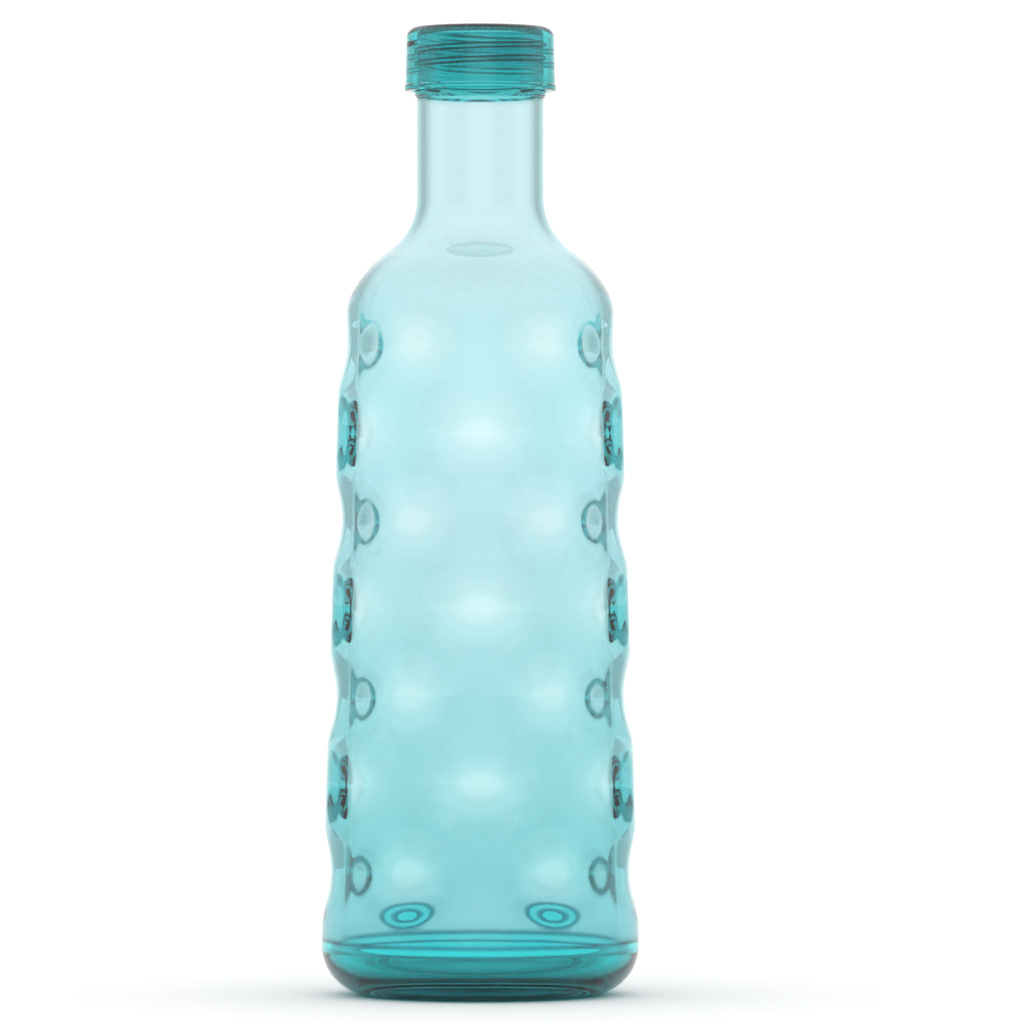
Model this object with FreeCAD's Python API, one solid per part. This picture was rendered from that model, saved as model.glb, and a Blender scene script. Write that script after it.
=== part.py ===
"""Dimpled water bottle with a bonded base and a clear screw cap.

Millimetres. The bottle stands on Z = 0 with its axis on Z, and its front faces -Y.
"""

import FreeCAD, Part
import math
import os

# Overall heights
RIM_Z = 282.9            # top of the bottle's mouth
CAP_TOP_Z = 285.3
SKIRT_BOTTOM_Z = 266.4   # lower edge of the cap

# Body wall: two cones, wider towards the base so that the core draws out downwards
SEAM_Z = 16.0            # joint line with the base cup
BODY_SEAM_R = 46.8
BODY_TAPER = 0.0298      # loss of radius per millimetre of height
BORE_SEAM_R = 41.5
BORE_TAPER = 0.0257

# Shoulder: one hollow arc off the neck, then one full arc into the body cone
NECK_R = 18.67
NECK_BORE_R = 16.2
NECK_FOOT_Z = 235.1      # where the straight neck ends
SHOULDER_HOLLOW_R = 19.5
SHOULDER_TURN = math.radians(55.3)
SHOULDER_WALL = 2.1
RIM_ROUND = 0.7

# Collar on the neck that the skirt comes down to
COLLAR_R = 19.35
COLLAR_Z = 265.1
COLLAR_BAND = 1.5
COLLAR_SLOPE = 0.9

# Dimples: rows of shallow round hollows, every second row shifted by half a step
DIMPLE_ROWS = 7
DIMPLES_AROUND = 6
TOP_ROW_Z = 191.2
ROW_PITCH = 25.88
DIMPLE_DEPTH = 2.0
DIMPLE_BALL_R = 30.0
DIMPLE_RIM_R = 24.0

# Step joint: the body's tongue stands inside the socket of the base cup
TONGUE_LENGTH = 2.9
TONGUE_R = 44.2

# Base cup
BASE_CORNER_R = 14.6
BASE_FLOOR_Z = 6.6
BASE_INNER_CORNER_R = 9.0
FOOT_RECESS_R = 27.5
FOOT_RECESS_DEPTH = 0.6
FOOT_RECESS_ROUND = 0.5

# Single-start right-hand thread
THREAD_PITCH = 4.0
THREAD_ROOT_SINK = 0.35  # how far a ridge is buried in the wall that carries it
NECK_RIDGE_R = 19.85
NECK_RIDGE_FOOT = 1.7
NECK_RIDGE_TIP = 0.8
NECK_THREAD_Z = 271.9
NECK_THREAD_TURNS = 2.4
CAP_RIDGE_R = 19.0
CAP_RIDGE_FOOT = 1.6
CAP_RIDGE_TIP = 0.8
CAP_THREAD_Z = 269.9
CAP_THREAD_TURNS = 2.6

# Screw cap
CAP_TOP_R = 21.75
CAP_SKIRT_R = 22.1
CAP_BORE_R = 20.2
CAP_TOP_ROUND = 3.0
CAP_PLATE = 1.3
CAP_BEAD = 0.3
CAP_BEAD_HEIGHT = 1.8
CAP_LIP = 0.4

# Sealing disc between the cap's plate and the rim
SEAL_R = 19.9
SEAL_EDGE_ROUND = 0.25

SEAM_TURN = 15.0         # puts the seams of turned faces between dimple columns


def point(r, z):
    return FreeCAD.Vector(r, 0, z)


def line(start, end):
    return Part.LineSegment(start, end).toShape()


def arc(centre, radius, start, end):
    """Arc in the XZ plane between two angles measured from +X towards +Z."""
    turns = (start, (start + end) / 2, end)
    ends = [
        centre + FreeCAD.Vector(radius * math.cos(t), 0, radius * math.sin(t))
        for t in turns
    ]
    return Part.Arc(*ends).toShape()


def polyline(*corners):
    return [line(a, b) for a, b in zip(corners[:-1], corners[1:])]


def turned(edges):
    """Solid of revolution about Z from a closed chain of edges in the XZ plane."""
    face = Part.Face(Part.Wire(edges))
    solid = face.revolve(point(0, 0), FreeCAD.Vector(0, 0, 1), 360)
    solid.rotate(point(0, 0), FreeCAD.Vector(0, 0, 1), SEAM_TURN)
    return solid


def body_radius(z):
    return BODY_SEAM_R - BODY_TAPER * (z - SEAM_Z)


def bore_radius(z):
    return BORE_SEAM_R - BORE_TAPER * (z - SEAM_Z)


def shoulder(neck_r, foot_z, hollow_r, seam_r, taper):
    """Neck foot, the two shoulder arcs and their tangent points, down to a cone.

    The full arc's radius follows from being tangent to the hollow arc and to the cone.
    """
    turn, lean = SHOULDER_TURN, math.atan(taper)
    meet = point(
        neck_r + hollow_r * (1 - math.cos(turn)), foot_z - hollow_r * math.sin(turn)
    )
    off_cone = (
        (seam_r - meet.x) * math.cos(lean) + (SEAM_Z - meet.z) * math.sin(lean)
    )
    full_r = off_cone / (1 - math.cos(turn - lean))
    centre = meet - FreeCAD.Vector(full_r * math.cos(turn), 0, full_r * math.sin(turn))
    hollow_centre = point(neck_r + hollow_r, foot_z)
    on_cone = centre + FreeCAD.Vector(full_r * math.cos(lean), 0, full_r * math.sin(lean))
    arcs = [
        arc(hollow_centre, hollow_r, math.pi, math.pi + turn),
        arc(centre, full_r, turn, lean),
    ]
    return point(neck_r, foot_z), arcs, on_cone


def bore_foot_z():
    """Height of the bore's neck foot that leaves SHOULDER_WALL at the steepest place."""
    turn = SHOULDER_TURN
    cos, sin = math.cos(turn), math.sin(turn)
    hollow = SHOULDER_HOLLOW_R + SHOULDER_WALL
    outside = cos * (NECK_R + SHOULDER_HOLLOW_R) - SHOULDER_HOLLOW_R + sin * NECK_FOOT_Z
    inside = cos * (NECK_BORE_R + hollow) - hollow
    return (outside - SHOULDER_WALL - inside) / sin


def body_outside():
    """Full solid inside the body's outer surface, from the tongue to the rim."""
    neck_foot, arcs, on_cone = shoulder(
        NECK_R, NECK_FOOT_Z, SHOULDER_HOLLOW_R, BODY_SEAM_R, BODY_TAPER
    )
    collar_foot = COLLAR_Z - COLLAR_SLOPE
    collar_top = COLLAR_Z + COLLAR_BAND
    rim_centre = point(NECK_R - RIM_ROUND, RIM_Z - RIM_ROUND)
    edges = [line(point(0, RIM_Z), point(rim_centre.x, RIM_Z))]
    edges.append(arc(rim_centre, RIM_ROUND, math.pi / 2, 0))
    edges += polyline(
        point(NECK_R, rim_centre.z),
        point(NECK_R, collar_top + COLLAR_SLOPE / 2),
        point(COLLAR_R, collar_top),
        point(COLLAR_R, COLLAR_Z),
        point(NECK_R, collar_foot),
        neck_foot,
    )
    edges += arcs
    edges += polyline(
        on_cone,
        point(BODY_SEAM_R, SEAM_Z),
        point(TONGUE_R, SEAM_Z),
        point(TONGUE_R, SEAM_Z - TONGUE_LENGTH),
        point(0, SEAM_Z - TONGUE_LENGTH),
        point(0, RIM_Z),
    )
    return turned(edges)


def body_bore():
    """The core that leaves the hollow, open at the mouth and at the tongue."""
    foot, arcs, on_cone = shoulder(
        NECK_BORE_R, bore_foot_z(), SHOULDER_HOLLOW_R + SHOULDER_WALL,
        BORE_SEAM_R, BORE_TAPER,
    )
    tongue_z = SEAM_Z - TONGUE_LENGTH
    below = tongue_z - 1
    mouth = RIM_Z + 1
    lip = point(NECK_BORE_R + RIM_ROUND, RIM_Z - RIM_ROUND)
    edges = polyline(
        point(0, mouth), point(lip.x, mouth), point(lip.x, RIM_Z)
    )
    edges.append(arc(lip, RIM_ROUND, math.pi / 2, math.pi))
    edges.append(line(point(NECK_BORE_R, lip.z), foot))
    edges += arcs
    edges += polyline(
        on_cone,
        point(bore_radius(tongue_z), tongue_z),
        point(bore_radius(tongue_z), below),
        point(0, below),
        point(0, mouth),
    )
    return turned(edges)


def dimple_balls():
    """Balls that press the dimples, row by row from the top."""
    balls = []
    step = 360 / DIMPLES_AROUND
    for row in range(DIMPLE_ROWS):
        z = TOP_ROW_Z - ROW_PITCH * row
        reach = body_radius(z) - DIMPLE_DEPTH + DIMPLE_BALL_R
        for column in range(DIMPLES_AROUND):
            # moved out along +X, then turned, so a ball's own seam stays outside
            ball = Part.makeSphere(DIMPLE_BALL_R)
            ball.translate(FreeCAD.Vector(reach, 0, z))
            ball.rotate(point(0, 0), FreeCAD.Vector(0, 0, 1), step * (column + 0.5 * (row % 2)))
            balls.append(ball.toNurbs())
    return balls


def dimple_rims(solid):
    """Edges where the dimples, the only free-form faces here, meet the outside."""
    rims = []
    for face in solid.Faces:
        if face.Surface.TypeId == "Part::GeomBSplineSurface":
            rims += face.Edges
    return rims


def helix_ridge(radius, tip_r, foot, tip, start_z, turns):
    """Trapezoid ridge along a right-hand helix, from its buried foot to its tip."""
    path = Part.makeHelix(THREAD_PITCH, THREAD_PITCH * turns, radius)
    path.translate(FreeCAD.Vector(0, 0, start_z))
    corners = [
        point(radius, start_z - foot / 2),
        point(tip_r, start_z - tip / 2),
        point(tip_r, start_z + tip / 2),
        point(radius, start_z + foot / 2),
    ]
    profile = Part.Wire(polyline(*corners, corners[0]))
    return Part.Wire(path.Edges).makePipeShell([profile], True, True)


def bottle_body():
    body = body_outside().cut(dimple_balls())
    body = body.makeFillet(DIMPLE_RIM_R, dimple_rims(body))
    ridge = helix_ridge(
        NECK_R - THREAD_ROOT_SINK, NECK_RIDGE_R, NECK_RIDGE_FOOT, NECK_RIDGE_TIP,
        NECK_THREAD_Z, NECK_THREAD_TURNS,
    )
    return body.cut(body_bore()).fuse(ridge)


def base_cup():
    """Thick cup bonded under the body, with the socket for the tongue."""
    tongue_z = SEAM_Z - TONGUE_LENGTH
    inner_r = bore_radius(tongue_z)
    recess_z = FOOT_RECESS_DEPTH
    corner = point(BODY_SEAM_R - BASE_CORNER_R, BASE_CORNER_R)
    corner_z = BASE_FLOOR_Z + BASE_INNER_CORNER_R
    start = math.asin((tongue_z - corner_z) / BASE_INNER_CORNER_R)
    inner_corner = point(inner_r - BASE_INNER_CORNER_R * math.cos(start), corner_z)
    edges = polyline(
        point(0, recess_z),
        point(FOOT_RECESS_R - FOOT_RECESS_ROUND, recess_z),
        point(FOOT_RECESS_R + FOOT_RECESS_ROUND, 0),
        point(corner.x, 0),
    )
    edges.append(arc(corner, BASE_CORNER_R, -math.pi / 2, 0))
    edges += polyline(
        point(corner.x + BASE_CORNER_R, corner.z),
        point(BODY_SEAM_R, SEAM_Z),
        point(TONGUE_R, SEAM_Z),
        point(TONGUE_R, tongue_z),
        point(inner_r, tongue_z),
    )
    edges.append(arc(inner_corner, BASE_INNER_CORNER_R, start, -math.pi / 2))
    edges += polyline(point(inner_corner.x, BASE_FLOOR_Z), point(0, BASE_FLOOR_Z), point(0, recess_z))
    return turned(edges)


def cap_shell():
    """Cap without its thread: plate, rounded shoulder, skirt and lower bead."""
    plate_z = CAP_TOP_Z - CAP_PLATE
    top = point(CAP_TOP_R - CAP_TOP_ROUND, CAP_TOP_Z - CAP_TOP_ROUND)
    bead_z = SKIRT_BOTTOM_Z + CAP_BEAD_HEIGHT
    bead_r = CAP_SKIRT_R + CAP_BEAD
    edges = polyline(point(0, plate_z), point(0, CAP_TOP_Z), point(top.x, CAP_TOP_Z))
    edges.append(arc(top, CAP_TOP_ROUND, math.pi / 2, 0))
    edges += polyline(
        point(CAP_TOP_R, top.z),
        point(CAP_SKIRT_R, bead_z),
        point(bead_r, bead_z - CAP_BEAD),
        point(bead_r, SKIRT_BOTTOM_Z + CAP_LIP),
        point(bead_r - CAP_LIP, SKIRT_BOTTOM_Z),
        point(CAP_BORE_R + CAP_LIP, SKIRT_BOTTOM_Z),
        point(CAP_BORE_R, SKIRT_BOTTOM_Z + CAP_LIP),
        point(CAP_BORE_R, plate_z),
        point(0, plate_z),
    )
    return turned(edges)


def screw_cap():
    ridge = helix_ridge(
        CAP_BORE_R + THREAD_ROOT_SINK, CAP_RIDGE_R, CAP_RIDGE_FOOT, CAP_RIDGE_TIP,
        CAP_THREAD_Z, CAP_THREAD_TURNS,
    )
    return cap_shell().fuse(ridge)


def cap_seal():
    thickness = CAP_TOP_Z - CAP_PLATE - RIM_Z
    disc = Part.makeCylinder(SEAL_R, thickness, point(0, RIM_Z))
    return disc.makeFillet(SEAL_EDGE_ROUND, [e for e in disc.Edges if len(e.Vertexes) == 1])


def main():
    os.makedirs("parts", exist_ok=True)
    pieces = {
        "bottle_body": bottle_body(),
        "base_cup": base_cup(),
        "screw_cap": screw_cap(),
        "cap_seal": cap_seal(),
    }
    for name, shape in pieces.items():
        shape.exportStep("parts/" + name + ".step")
        print(name, len(shape.Solids), shape.isValid(), round(shape.Volume, 1))


main()
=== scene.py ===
import math

import bmesh
import bpy
import numpy as np
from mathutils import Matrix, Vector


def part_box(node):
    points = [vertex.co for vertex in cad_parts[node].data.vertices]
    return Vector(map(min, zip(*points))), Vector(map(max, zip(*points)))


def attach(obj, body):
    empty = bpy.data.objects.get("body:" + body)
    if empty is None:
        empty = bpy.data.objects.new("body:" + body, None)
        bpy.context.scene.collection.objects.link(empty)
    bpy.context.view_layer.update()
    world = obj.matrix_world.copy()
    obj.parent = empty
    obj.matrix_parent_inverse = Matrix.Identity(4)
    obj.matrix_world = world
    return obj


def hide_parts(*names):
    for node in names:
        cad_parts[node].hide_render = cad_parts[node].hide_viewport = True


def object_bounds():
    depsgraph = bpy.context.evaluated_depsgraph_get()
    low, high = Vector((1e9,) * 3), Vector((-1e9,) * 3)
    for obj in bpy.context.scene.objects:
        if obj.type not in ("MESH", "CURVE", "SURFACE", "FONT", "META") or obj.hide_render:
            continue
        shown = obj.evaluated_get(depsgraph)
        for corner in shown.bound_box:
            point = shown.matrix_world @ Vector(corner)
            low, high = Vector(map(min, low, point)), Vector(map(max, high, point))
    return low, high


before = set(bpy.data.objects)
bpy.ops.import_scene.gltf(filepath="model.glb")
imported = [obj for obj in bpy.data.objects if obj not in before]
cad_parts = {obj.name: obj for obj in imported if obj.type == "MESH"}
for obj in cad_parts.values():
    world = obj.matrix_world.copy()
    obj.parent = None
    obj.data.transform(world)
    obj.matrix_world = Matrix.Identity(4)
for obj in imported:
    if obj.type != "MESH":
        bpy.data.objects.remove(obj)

cad_lo, cad_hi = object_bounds()

# ---------------------------------------------------------------- sizes, in metres
MM = 0.001
AROUND = 6                      # dimples in a row
ROWS = 7

foot_z = cad_lo.z
body_low, body_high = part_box("bottle_body")
base_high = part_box("base_cup")[1]
cap_low, cap_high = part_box("screw_cap")
seal_low, seal_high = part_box("cap_seal")

seam_z = base_high.z            # joint line between body and base cup
tongue_z = body_low.z           # lower end of the body's tongue
rim_z = body_high.z
plate_z = seal_high.z           # underside of the cap's plate
body_seam_r = base_high.x
seal_r = seal_high.x
cap_bead_r = cap_high.x

body_taper = 0.0298
bore_taper = 0.0257
bore_seam_r = body_seam_r - 5.3 * MM
tongue_r = body_seam_r - 2.6 * MM

neck_r = 18.67 * MM
neck_bore_r = 16.2 * MM
neck_foot_z = rim_z - 47.8 * MM
shoulder_hollow_r = 19.5 * MM
shoulder_turn = math.radians(55.3)
shoulder_wall = 2.1 * MM
rim_round = 0.7 * MM

collar_r = 19.35 * MM
collar_z = cap_low.z - 1.3 * MM
collar_band = 1.5 * MM
collar_slope = 0.9 * MM

top_row_z = 191.2 * MM
row_pitch = 25.88 * MM
dimple_depth = 2.05 * MM
dimple_half_width = 20.0 * MM
dimple_half_height = 14.5 * MM
dimple_lighter = 0.5            # how much of the tint is lost in the middle of a dimple
dimple_fullness = 1.3           # above 1 the bottom is flatter

pitch = 4.0 * MM
neck_ridge = 0.85 * MM
neck_thread_z = rim_z - 11.0 * MM
neck_turns = 2.4
cap_bore_r = cap_bead_r - 2.2 * MM
cap_ridge = 0.80 * MM
cap_thread_z = rim_z - 13.0 * MM
cap_turns = 2.6
neck_thread_low = rim_z - 13.2 * MM      # the neck is plain below this
ridge_foot = 1.55 * MM
ridge_tip = 1.0 * MM
ridge_fade = 0.12               # of a turn, at each end
flank_half = 0.34 * MM
flank_painted_shade = 12.0              # painted shade: how much deeper the tint is drawn along a steep flank

joint_line = 0.3 * MM           # the bonded joint shows as two darker lines
joint_depth = 4.0

body_around = 300               # points round each turned mesh
fine_around = 256
seal_around = 128
sharp_angle = math.radians(32)  # steeper edges than this stay crisp

handled_scale = 260.0           # of the noise behind the handled patches
ripple_scale = 70.0

screen_light = 1.1              # the four white screens round the object
corner_light = 0.66             # the grey corners between them
ceiling_light = 1.18            # the soft light overhead

camera_distance = 2.271
camera_side = 0.00935
camera_height = 0.1423
camera_half_view = 0.15104


# ---------------------------------------------------------------- mesh helpers
def run(start, end, count):
    """Points from start up to, but not including, end."""
    return [
        (start[0] + (end[0] - start[0]) * i / count, start[1] + (end[1] - start[1]) * i / count)
        for i in range(count)
    ]


def arc(centre, radius, first, last, count):
    """Points along an arc, leaving out its last."""
    return [
        (
            centre[0] + radius * math.cos(first + (last - first) * i / count),
            centre[1] + radius * math.sin(first + (last - first) * i / count),
        )
        for i in range(count)
    ]


def turned(name, profile, around, reshape=None, wall_and_shade=None, closed=True):
    """A turned mesh from (radius, height) points. reshape(angle, r, z) may move the radii.

    wall(angle, r, z) is stored at each point for the tint. It holds the wall's depth with painted
    shade added: 0 for none, 1 for its full depth.
    A closed profile is a ring; an open one starts and ends on the axis.
    """
    angles = np.arange(around) * 2 * math.pi / around
    r = np.array([p[0] for p in profile])[:, None] + 0 * angles[None, :]
    z = np.array([p[1] for p in profile])[:, None] + 0 * angles[None, :]
    if reshape is not None:
        r = reshape(angles[None, :], r, z)
    x = r * np.cos(angles)[None, :]
    y = r * np.sin(angles)[None, :]
    points = np.stack([x, y, z], axis=-1)
    rings = len(profile)
    if closed:
        verts = points.reshape(-1, 3)
        offset = 0
    else:
        verts = np.concatenate(
            [[[0, 0, profile[0][1]]], points[1:-1].reshape(-1, 3), [[0, 0, profile[-1][1]]]]
        )
        offset = 1 - around
    faces = []
    first = 0 if closed else 1
    last = rings if closed else rings - 2
    for i in range(first, last):
        low = offset + i * around
        high = offset + ((i + 1) % rings) * around
        for j in range(around):
            k = (j + 1) % around
            faces.append((low + j, low + k, high + k, high + j))
    if not closed:
        top = len(verts) - 1
        low = 1
        high = offset + (rings - 2) * around
        for j in range(around):
            k = (j + 1) % around
            faces.append((0, low + k, low + j))
            faces.append((top, high + j, high + k))
    mesh = bpy.data.meshes.new(name)
    mesh.from_pydata(verts.tolist(), [], faces)
    depth = np.ones_like(r) if wall_and_shade is None else wall_and_shade(angles[None, :], r, z)
    if closed:
        depth = depth.reshape(-1)
    else:
        depth = np.concatenate([depth[:1, 0], depth[1:-1].reshape(-1), depth[-1:, 0]])
    mesh.attributes.new("wall_and_shade", "FLOAT", "POINT").data.foreach_set("value", depth)
    work = bmesh.new()
    work.from_mesh(mesh)
    bmesh.ops.recalc_face_normals(work, faces=work.faces)
    work.to_mesh(mesh)
    work.free()
    mesh.update()
    piece = bpy.data.objects.new(name, mesh)
    bpy.context.collection.objects.link(piece)
    bpy.context.view_layer.objects.active = piece
    for polygon in mesh.polygons:
        polygon.use_smooth = True
    mesh.set_sharp_from_angle(angle=sharp_angle)
    return piece


# ---------------------------------------------------------------- shapes
def shoulder(neck, start_z, hollow, seam_r, taper, count):
    """The two tangent shoulder arcs from the neck down to a cone."""
    turn, lean = shoulder_turn, math.atan(taper)
    meet = (neck + hollow * (1 - math.cos(turn)), start_z - hollow * math.sin(turn))
    off_cone = (seam_r - meet[0]) * math.cos(lean) + (seam_z - meet[1]) * math.sin(lean)
    full = off_cone / (1 - math.cos(turn - lean))
    centre = (meet[0] - full * math.cos(turn), meet[1] - full * math.sin(turn))
    points = arc((neck + hollow, start_z), hollow, math.pi, math.pi + turn, count)
    points += arc(centre, full, turn, lean, count)
    end = (centre[0] + full * math.cos(lean), centre[1] + full * math.sin(lean))
    return points, end


def bore_start_z():
    """Where the bore leaves the neck, so that the shoulder keeps its wall."""
    cos, sin = math.cos(shoulder_turn), math.sin(shoulder_turn)
    hollow = shoulder_hollow_r + shoulder_wall
    outside = cos * (neck_r + shoulder_hollow_r) - shoulder_hollow_r + sin * neck_foot_z
    inside = cos * (neck_bore_r + hollow) - hollow
    return (outside - shoulder_wall - inside) / sin


def dimpled(angle, r, z):
    """Radii after the dimples are pressed into the outside."""
    step = 2 * math.pi / AROUND
    for row in range(ROWS):
        row_z = top_row_z - row_pitch * row
        surface = body_seam_r - body_taper * (row_z - seam_z)
        turn = (angle / step - 0.5 * (row % 2) + 0.5) % 1.0 - 0.5
        across = turn * step * surface / dimple_half_width
        rise = (z - row_z) / dimple_half_height
        off = np.clip(np.hypot(across, rise), 0, 1) ** dimple_fullness
        r = r - dimple_depth * (1 - off * off * (3 - 2 * off))
    return r


def ridge_place(angle, z, start_z, turns):
    """Height off the nearest turn of a helical ridge, and how full the ridge is there."""
    share = angle / (2 * math.pi)
    nearest = np.round((z - start_z) / pitch - share)
    along = np.clip(nearest, 0, math.floor(turns)) + share
    off = np.abs(z - start_z - pitch * along)
    full = np.clip(along / ridge_fade, 0, 1) * np.clip((turns - along) / ridge_fade, 0, 1)
    return off, full


def ridge_height(angle, z, start_z, turns):
    """0 to 1 across a helical ridge, fading out at both ends."""
    off, full = ridge_place(angle, z, start_z, turns)
    height = np.clip((ridge_foot - 2 * off) / (ridge_foot - ridge_tip), 0, 1)
    return height * height * (3 - 2 * height) * full


def painted_flank_shade(angle, z, start_z, turns):
    """0 to 1, highest along the two steep flanks of a helical ridge, where the tint is darkened as
    painted shade.
    """
    off, full = ridge_place(angle, z, start_z, turns)
    middle = (ridge_foot + ridge_tip) / 4
    return np.clip(1 - ((off - middle) / flank_half) ** 2, 0, 1) * full


def body_piece():
    outside, on_cone = shoulder(
        neck_r, neck_foot_z, shoulder_hollow_r, body_seam_r, body_taper, 28
    )
    inside, bore_on_cone = shoulder(
        neck_bore_r, bore_start_z(), shoulder_hollow_r + shoulder_wall,
        bore_seam_r, bore_taper, 24,
    )
    lip = (neck_bore_r + rim_round, rim_z - rim_round)
    edge = (neck_r - rim_round, rim_z - rim_round)
    collar_top = collar_z + collar_band
    thread_foot = collar_top + collar_slope
    points = arc(edge, rim_round, math.pi / 2, 0, 5)
    points += run((neck_r, edge[1]), (neck_r, neck_thread_low), 180)
    points += run((neck_r, neck_thread_low), (neck_r, thread_foot), 6)
    points += run((neck_r, thread_foot), (collar_r, collar_top), 2)
    points += run((collar_r, collar_top), (collar_r, collar_z), 2)
    points += run((collar_r, collar_z), (neck_r, collar_z - collar_slope), 2)
    points += run((neck_r, collar_z - collar_slope), (neck_r, neck_foot_z), 6)
    points += outside
    points += run(on_cone, (body_seam_r, seam_z), 170)
    outer_count = len(points)
    points += run((body_seam_r, seam_z), (tongue_r, seam_z), 2)
    points += run((tongue_r, seam_z), (tongue_r, tongue_z), 3)
    bore_end = (bore_seam_r + bore_taper * (seam_z - tongue_z), tongue_z)
    points += run((tongue_r, tongue_z), bore_end, 2)
    joint_count = len(points) - outer_count
    points += run(bore_end, bore_on_cone, 12)
    up = [bore_on_cone] + inside[:0:-1]
    points += up
    points += run((neck_bore_r, bore_start_z()), (neck_bore_r, lip[1]), 4)
    points += arc(lip, rim_round, math.pi, math.pi / 2, 5)
    points += run((lip[0], rim_z), (edge[0], rim_z), 2)
    index = np.arange(len(points))[:, None]

    def reshape(angle, r, z):
        outer = index < outer_count
        pressed = dimpled(angle, r, z)
        threaded = r + neck_ridge * ridge_height(angle, z, neck_thread_z, neck_turns)
        shaped = np.where(z > thread_foot, threaded, pressed)
        return np.where(outer, shaped, r)

    def wall_and_shade(angle, r, z):
        """The wall's share of the plain body's outside, deeper along the thread's flanks as painted
        shade, none inside.
        """
        pressed = (np.array([p[0] for p in points])[:, None] - r) / dimple_depth
        middle = np.clip((pressed - 0.15) / 0.6, 0, 1)
        dimple = 1 - dimple_lighter * middle * middle * (3 - 2 * middle)
        # painted shade: darker lines drawn along the neck thread's flanks
        thread = 1 + flank_painted_shade * painted_flank_shade(angle, z, neck_thread_z, neck_turns)
        depth = np.where(z > thread_foot, thread, dimple)
        depth = np.where(index < outer_count, depth, 0.0)
        joint = (np.abs(z - seam_z) < joint_line) | (z < tongue_z + joint_line)
        return np.where(joint & (index < outer_count + joint_count), joint_depth, depth)

    return turned("bottle_wall", points, body_around, reshape, wall_and_shade)


def base_piece():
    gap = 0.04 * MM
    corner_r = 14.6 * MM
    inner_corner_r = 9.0 * MM
    floor_z = foot_z + 6.6 * MM
    recess_r = 27.5 * MM
    recess_z = foot_z + 0.6 * MM
    recess_round = 0.5 * MM
    inner_r = bore_seam_r + bore_taper * (seam_z - tongue_z)
    corner = (body_seam_r - corner_r, foot_z + corner_r)
    corner_z = floor_z + inner_corner_r
    start = math.asin((tongue_z - corner_z) / inner_corner_r)
    inner = (inner_r - inner_corner_r * math.cos(start), corner_z)
    seat_z = seam_z - gap
    socket_z = tongue_z - gap
    points = run((0, recess_z), (recess_r - recess_round, recess_z), 8)
    points += run(
        (recess_r - recess_round, recess_z), (recess_r + recess_round, foot_z), 2
    )
    points += run((recess_r + recess_round, foot_z), (corner[0], foot_z), 4)
    points += arc(corner, corner_r, -math.pi / 2, 0, 24)
    points += run((body_seam_r, corner[1]), (body_seam_r, seat_z), 3)
    points += run((body_seam_r, seat_z), (tongue_r + gap, seat_z), 2)
    points += run((tongue_r + gap, seat_z), (tongue_r + gap, socket_z), 3)
    points += run((tongue_r + gap, socket_z), (inner_r, socket_z), 2)
    points += arc(inner, inner_corner_r, start, -math.pi / 2, 16)
    points += run((inner[0], floor_z), (0, floor_z), 10)
    points.append((0, floor_z))
    return turned("bottle_base", points, fine_around, closed=False)


def cap_piece():
    top_r = cap_bead_r - 0.65 * MM
    skirt_r = cap_bead_r - 0.3 * MM
    top_z = cap_high.z
    bottom = cap_low.z
    round_r = 3.0 * MM
    bead = 0.3 * MM
    bead_z = bottom + 1.8 * MM
    lip = 0.4 * MM
    top = (top_r - round_r, top_z - round_r)
    points = run((0, top_z), (top[0], top_z), 10)
    points += arc(top, round_r, math.pi / 2, 0, 12)
    points += run((top_r, top[1]), (skirt_r, bead_z), 12)
    points += run((skirt_r, bead_z), (cap_bead_r, bead_z - bead), 2)
    points += run((cap_bead_r, bead_z - bead), (cap_bead_r, bottom + lip), 2)
    points += run((cap_bead_r, bottom + lip), (cap_bead_r - lip, bottom), 2)
    points += run((cap_bead_r - lip, bottom), (cap_bore_r + lip, bottom), 2)
    points += run((cap_bore_r + lip, bottom), (cap_bore_r, bottom + lip), 2)
    outer_count = len(points)
    bore_count = 240
    points += run((cap_bore_r, bottom + lip), (cap_bore_r, plate_z), bore_count)
    points += run((cap_bore_r, plate_z), (0, plate_z), 10)
    points.append((0, plate_z))
    index = np.arange(len(points))[::-1, None]
    on_bore = (index >= outer_count) & (index < outer_count + bore_count)
    points.reverse()

    def reshape(angle, r, z):
        ridge = cap_ridge * ridge_height(angle, z, cap_thread_z, cap_turns)
        return np.where(on_bore, r - ridge, r)

    def wall_and_shade(angle, r, z):
        # painted shade: darker lines drawn along the cap thread's flanks
        line = flank_painted_shade * painted_flank_shade(angle, z, cap_thread_z, cap_turns)
        return np.where(on_bore, 1 + line, 1.0 + 0 * r)

    return turned("cap_shell", points, fine_around, reshape, wall_and_shade, closed=False)


def seal_piece():
    gap = 0.03 * MM
    edge = 0.25 * MM
    low = seal_low.z + gap
    high = seal_high.z - gap
    points = run((0, low), (seal_r - edge, low), 8)
    points += arc((seal_r - edge, low + edge), edge, -math.pi / 2, 0, 4)
    points += arc((seal_r - edge, high - edge), edge, 0, math.pi / 2, 4)
    points += run((seal_r - edge, high), (0, high), 8)
    points.append((0, high))
    return turned("seal_disc", points, seal_around, closed=False)


# ---------------------------------------------------------------- materials
def smooth_step(nodes, links, value, start, end, low, high):
    """low below start, high above end, and a smooth change between."""
    ramp = nodes.new("ShaderNodeMapRange")
    ramp.interpolation_type = "SMOOTHSTEP"
    ramp.inputs["From Min"].default_value = start
    ramp.inputs["From Max"].default_value = end
    ramp.inputs["To Min"].default_value = low
    ramp.inputs["To Max"].default_value = high
    links.new(value, ramp.inputs["Value"])
    return ramp.outputs["Result"]


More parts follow.
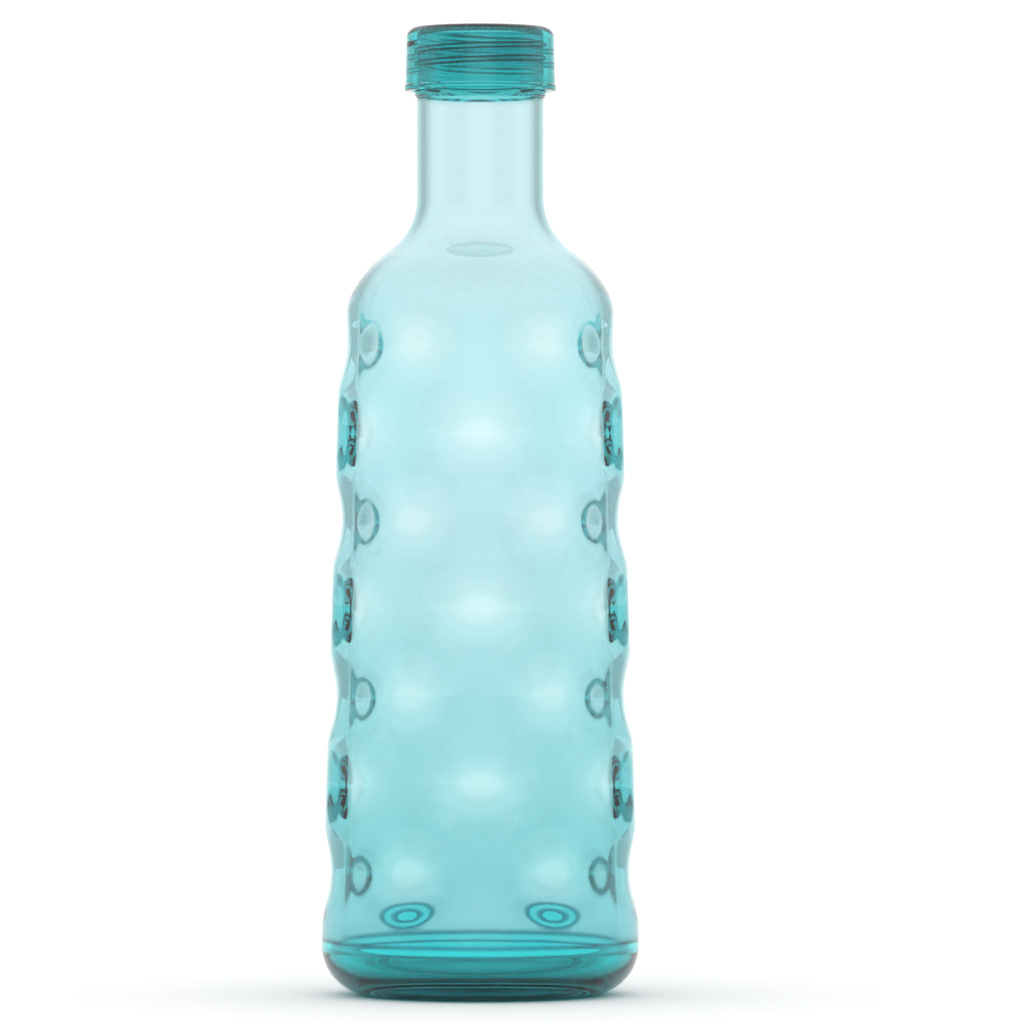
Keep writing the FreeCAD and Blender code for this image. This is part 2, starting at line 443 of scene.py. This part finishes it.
def height_tint(nodes, links, stops):
    """Surface colour by height, from (height, colour) stops, deeper where the stored wall value is
    higher. That value holds wall thickness and painted shade.
    """
    low = stops[0][0]
    high = stops[-1][0]
    place = nodes.new("ShaderNodeTexCoord")
    parts = nodes.new("ShaderNodeSeparateXYZ")
    level = nodes.new("ShaderNodeMapRange")
    level.inputs["From Min"].default_value = low
    level.inputs["From Max"].default_value = high
    ramp = nodes.new("ShaderNodeValToRGB")
    points = ramp.color_ramp.elements
    while len(points) < len(stops):
        points.new(0.5)
    for point, (height, colour) in zip(points, stops):
        point.position = (height - low) / (high - low)
    for point, (height, colour) in zip(points, stops):
        point.color = (*colour, 1)
    wall_and_shade = nodes.new("ShaderNodeAttribute")
    wall_and_shade.attribute_name = "wall_and_shade"
    depth = nodes.new("ShaderNodeGamma")
    links.new(place.outputs["Object"], parts.inputs["Vector"])
    links.new(parts.outputs["Z"], level.inputs["Value"])
    links.new(level.outputs["Result"], ramp.inputs["Fac"])
    links.new(ramp.outputs["Color"], depth.inputs["Color"])
    links.new(wall_and_shade.outputs["Fac"], depth.inputs["Gamma"])
    return depth.outputs["Color"]


def noise(nodes, links, scale, stretch=1.0):
    """Noise fixed to the piece; stretch above 1 draws it out along the height."""
    place = nodes.new("ShaderNodeTexCoord")
    mapping = nodes.new("ShaderNodeMapping")
    mapping.inputs["Scale"].default_value = (1.0, 1.0, 1.0 / stretch)
    texture = nodes.new("ShaderNodeTexNoise")
    texture.inputs["Scale"].default_value = scale
    texture.inputs["Detail"].default_value = 3.0
    links.new(place.outputs["Object"], mapping.inputs["Vector"])
    links.new(mapping.outputs["Vector"], texture.inputs["Vector"])
    return texture.outputs["Fac"]


def bump(nodes, links, height, depth, under=None):
    """A bump of the given depth, in metres, on top of another."""
    node = nodes.new("ShaderNodeBump")
    node.inputs["Distance"].default_value = depth
    links.new(height, node.inputs["Height"])
    if under is not None:
        links.new(under, node.inputs["Normal"])
    return node.outputs["Normal"]


def clear_tint(name, per_mm, polish, scuffed, ripple, stretch=1.0, ior=1.5):
    """Clear tinted moulding.

    per_mm is how strongly each millimetre absorbs red, green and blue. The roughness goes from
    polish to scuffed in small handled patches, and the surface has a ripple that deep, in metres.
    """
    material = bpy.data.materials.new(name)
    material.use_nodes = True
    nodes = material.node_tree.nodes
    links = material.node_tree.links
    shader = nodes["Principled BSDF"]
    shader.inputs["Base Color"].default_value = (1, 1, 1, 1)
    shader.inputs["Transmission Weight"].default_value = 1.0
    shader.inputs["IOR"].default_value = ior
    patches = noise(nodes, links, handled_scale, stretch)
    rough = smooth_step(nodes, links, patches, 0.5, 0.75, polish, scuffed)
    links.new(rough, shader.inputs["Roughness"])
    flow = noise(nodes, links, ripple_scale, stretch)
    links.new(bump(nodes, links, flow, ripple), shader.inputs["Normal"])
    volume = nodes.new("ShaderNodeVolumeAbsorption")
    density = max(per_mm) / MM
    volume.inputs["Color"].default_value = (*[1 - c / max(per_mm) for c in per_mm], 1)
    volume.inputs["Density"].default_value = density
    links.new(volume.outputs["Volume"], nodes["Material Output"].inputs["Volume"])
    return material


def body_material():
    """Pale at the neck, deeper towards the foot, and deep again in the threaded finish, where the
    dark tint is painted shade for the finish seen through the cap.
    """
    material = clear_tint("body_clear", (0.080, 0.0145, 0.0135), 0.0, 0.03, 0.03 * MM)
    nodes = material.node_tree.nodes
    links = material.node_tree.links
    row = [top_row_z - row_pitch * i for i in range(ROWS)]
    shoulder_z = (row[0] + neck_foot_z) / 2
    stops = (
        (tongue_z, (0.32, 0.56, 0.60)),
        (seam_z + 7.5 * MM, (0.57, 0.71, 0.77)),
        (row[6], (0.45, 0.68, 0.72)),
        (row[5], (0.66, 0.77, 0.80)),
        (row[4], (0.71, 0.78, 0.82)),
        (row[3], (0.92, 0.85, 0.87)),
        (row[2], (0.94, 0.83, 0.88)),
        (row[1], (1.00, 0.90, 0.94)),
        (row[0], (1.00, 0.90, 0.93)),
        (shoulder_z, (0.76, 0.81, 0.85)),
        (neck_foot_z, (0.88, 0.86, 0.89)),
        # painted shade: the threaded finish is drawn dark from the collar up and ends in a hard line
        # at the collar
        (collar_z - 1.6 * MM, (0.88, 0.86, 0.89)),
        (collar_z - 0.6 * MM, (0.10, 0.60, 0.62)),
        (rim_z, (0.10, 0.60, 0.62)),
    )
    tint = height_tint(nodes, links, stops)
    links.new(tint, nodes["Principled BSDF"].inputs["Base Color"])
    return material


def base_material():
    """Thick and deeply tinted, with painted shade in a dark band where it stands."""
    material = clear_tint("base_clear", (0.6, 0.028, 0.026), 0.0, 0.05, 0.03 * MM)
    nodes = material.node_tree.nodes
    links = material.node_tree.links
    shader = nodes["Principled BSDF"]
    stops = (
        # painted shade: the dark band drawn at the foot
        (foot_z, (0.04, 0.22, 0.24)),
        (foot_z + 0.7 * MM, (0.08, 0.35, 0.37)),
        (foot_z + 1.3 * MM, (0.85, 0.96, 0.96)),
        (foot_z + 11.0 * MM, (0.90, 1.00, 1.00)),
        (seam_z, (0.82, 0.80, 0.82)),
    )
    links.new(height_tint(nodes, links, stops), shader.inputs["Base Color"])
    place = nodes.new("ShaderNodeTexCoord")
    parts = nodes.new("ShaderNodeSeparateXYZ")
    links.new(place.outputs["Object"], parts.inputs["Vector"])
    worn = smooth_step(nodes, links, parts.outputs["Z"], foot_z, foot_z + 0.5 * MM, 0.3, 0.0)
    both = nodes.new("ShaderNodeMath")
    both.operation = "MAXIMUM"
    links.new(worn, both.inputs[0])
    links.new(shader.inputs["Roughness"].links[0].from_socket, both.inputs[1])
    links.new(both.outputs["Value"], shader.inputs["Roughness"])
    return material


def cap_material():
    """Deep tint, with a painted band of light in a ring low on the skirt, and painted shade along
    the thread's flanks inside.
    """
    material = clear_tint("cap_clear", (0.6, 0.082, 0.078), 0.0, 0.09, 0.02 * MM, stretch=4.0)
    nodes = material.node_tree.nodes
    links = material.node_tree.links
    deep = (0.78, 0.94, 0.95)
    # painted light: a paler ring on the skirt, drawn where the neck inside is plain
    painted_light_band = (1.0, 1.0, 1.0)
    stops = (
        (cap_low.z, deep),
        (cap_low.z + 3.0 * MM, deep),
        (cap_low.z + 3.6 * MM, painted_light_band),
        (cap_low.z + 6.4 * MM, painted_light_band),
        (cap_low.z + 7.2 * MM, deep),
        (cap_high.z, deep),
    )
    tint = height_tint(nodes, links, stops)
    links.new(tint, nodes["Principled BSDF"].inputs["Base Color"])
    return material


def seal_material():
    """Soft frosted disc, with the ring that the bottle's rim presses into it."""
    material = clear_tint("seal_clear", (0.1, 0.03, 0.03), 0.25, 0.4, 0.02 * MM, ior=1.42)
    nodes = material.node_tree.nodes
    links = material.node_tree.links
    shader = nodes["Principled BSDF"]
    shader.inputs["Base Color"].default_value = (0.80, 0.93, 0.93, 1)
    place = nodes.new("ShaderNodeTexCoord")
    flat = nodes.new("ShaderNodeMapping")
    flat.inputs["Scale"].default_value = (1.0, 1.0, 0.0)
    radius = nodes.new("ShaderNodeVectorMath")
    radius.operation = "LENGTH"
    links.new(place.outputs["Object"], flat.inputs["Vector"])
    links.new(flat.outputs["Vector"], radius.inputs[0])
    inner = smooth_step(
        nodes, links, radius.outputs["Value"], neck_bore_r, neck_bore_r + rim_round, 1.0, 0.0
    )
    outer = smooth_step(
        nodes, links, radius.outputs["Value"], neck_r - rim_round, neck_r, 0.0, 1.0
    )
    ring = nodes.new("ShaderNodeMath")
    ring.operation = "ADD"
    links.new(inner, ring.inputs[0])
    links.new(outer, ring.inputs[1])
    under = shader.inputs["Normal"].links[0].from_socket
    pressed = bump(nodes, links, ring.outputs["Value"], 0.12 * MM, under)
    links.new(pressed, shader.inputs["Normal"])
    return material


# ---------------------------------------------------------------- build
bottle = body_piece()
base = base_piece()
cap = cap_piece()
seal = seal_piece()

bottle.data.materials.append(body_material())
base.data.materials.append(base_material())
cap.data.materials.append(cap_material())
seal.data.materials.append(seal_material())

for piece, node, body, slot in (
    (bottle, "bottle_body", "bottle", "body_clear"),
    (base, "base_cup", "bottle", "base_clear"),
    (cap, "screw_cap", "cap", "cap_clear"),
    (seal, "cap_seal", "seal", "seal_clear"),
):
    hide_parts(node)
    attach(piece, body)


# ---------------------------------------------------------------- stage, light, camera
def stage():
    mesh = bpy.data.meshes.new("floor")
    half = 6.0
    mesh.from_pydata(
        [(-half, -half, foot_z), (half, -half, foot_z), (half, half, foot_z), (-half, half, foot_z)],
        [], [(0, 1, 2, 3)],
    )
    floor = bpy.data.objects.new("floor", mesh)
    bpy.context.collection.objects.link(floor)
    material = bpy.data.materials.new("floor_white")
    material.use_nodes = True
    shader = material.node_tree.nodes["Principled BSDF"]
    shader.inputs["Base Color"].default_value = (0.97, 0.97, 0.97, 1)
    shader.inputs["Roughness"].default_value = 0.9
    mesh.materials.append(material)


def light():
    """White screens ahead, behind and at both sides, darker corners, soft light overhead."""
    world = bpy.data.worlds.new("studio")
    bpy.context.scene.world = world
    world.use_nodes = True
    nodes = world.node_tree.nodes
    links = world.node_tree.links
    place = nodes.new("ShaderNodeTexCoord")
    parts = nodes.new("ShaderNodeSeparateXYZ")
    around = nodes.new("ShaderNodeMath")
    around.operation = "ARCTAN2"
    double = nodes.new("ShaderNodeMath")
    double.operation = "MULTIPLY"
    double.inputs[1].default_value = 2.0
    wave = nodes.new("ShaderNodeMath")
    wave.operation = "SINE"
    fold = nodes.new("ShaderNodeMath")
    fold.operation = "ABSOLUTE"
    links.new(place.outputs["Generated"], parts.inputs["Vector"])
    links.new(parts.outputs["Y"], around.inputs[0])
    links.new(parts.outputs["X"], around.inputs[1])
    links.new(around.outputs["Value"], double.inputs[0])
    links.new(double.outputs["Value"], wave.inputs[0])
    links.new(wave.outputs["Value"], fold.inputs[0])
    side = smooth_step(nodes, links, fold.outputs["Value"], 0.4, 0.95, screen_light, corner_light)
    up = smooth_step(nodes, links, parts.outputs["Z"], 0.2, 0.64, 0.0, 1.0)
    blend = nodes.new("ShaderNodeMix")
    blend.data_type = "FLOAT"
    links.new(up, blend.inputs[0])
    links.new(side, blend.inputs[2])
    blend.inputs[3].default_value = ceiling_light
    back = nodes["Background"]
    back.inputs["Color"].default_value = (1, 1, 1, 1)
    links.new(blend.outputs[0], back.inputs["Strength"])


def camera():
    data = bpy.data.cameras.new("camera")
    data.angle = 2 * math.atan(camera_half_view / camera_distance)
    view = bpy.data.objects.new("camera", data)
    bpy.context.collection.objects.link(view)
    view.location = (camera_side, -camera_distance, foot_z + camera_height)
    view.rotation_euler = (math.pi / 2, 0, 0)
    bpy.context.scene.camera = view


stage()
light()
camera()
scene = bpy.context.scene
scene.view_settings.view_transform = "Standard"
scene.cycles.max_bounces = 32
scene.cycles.transmission_bounces = 32
scene.cycles.glossy_bounces = 16
scene.cycles.transparent_max_bounces = 32
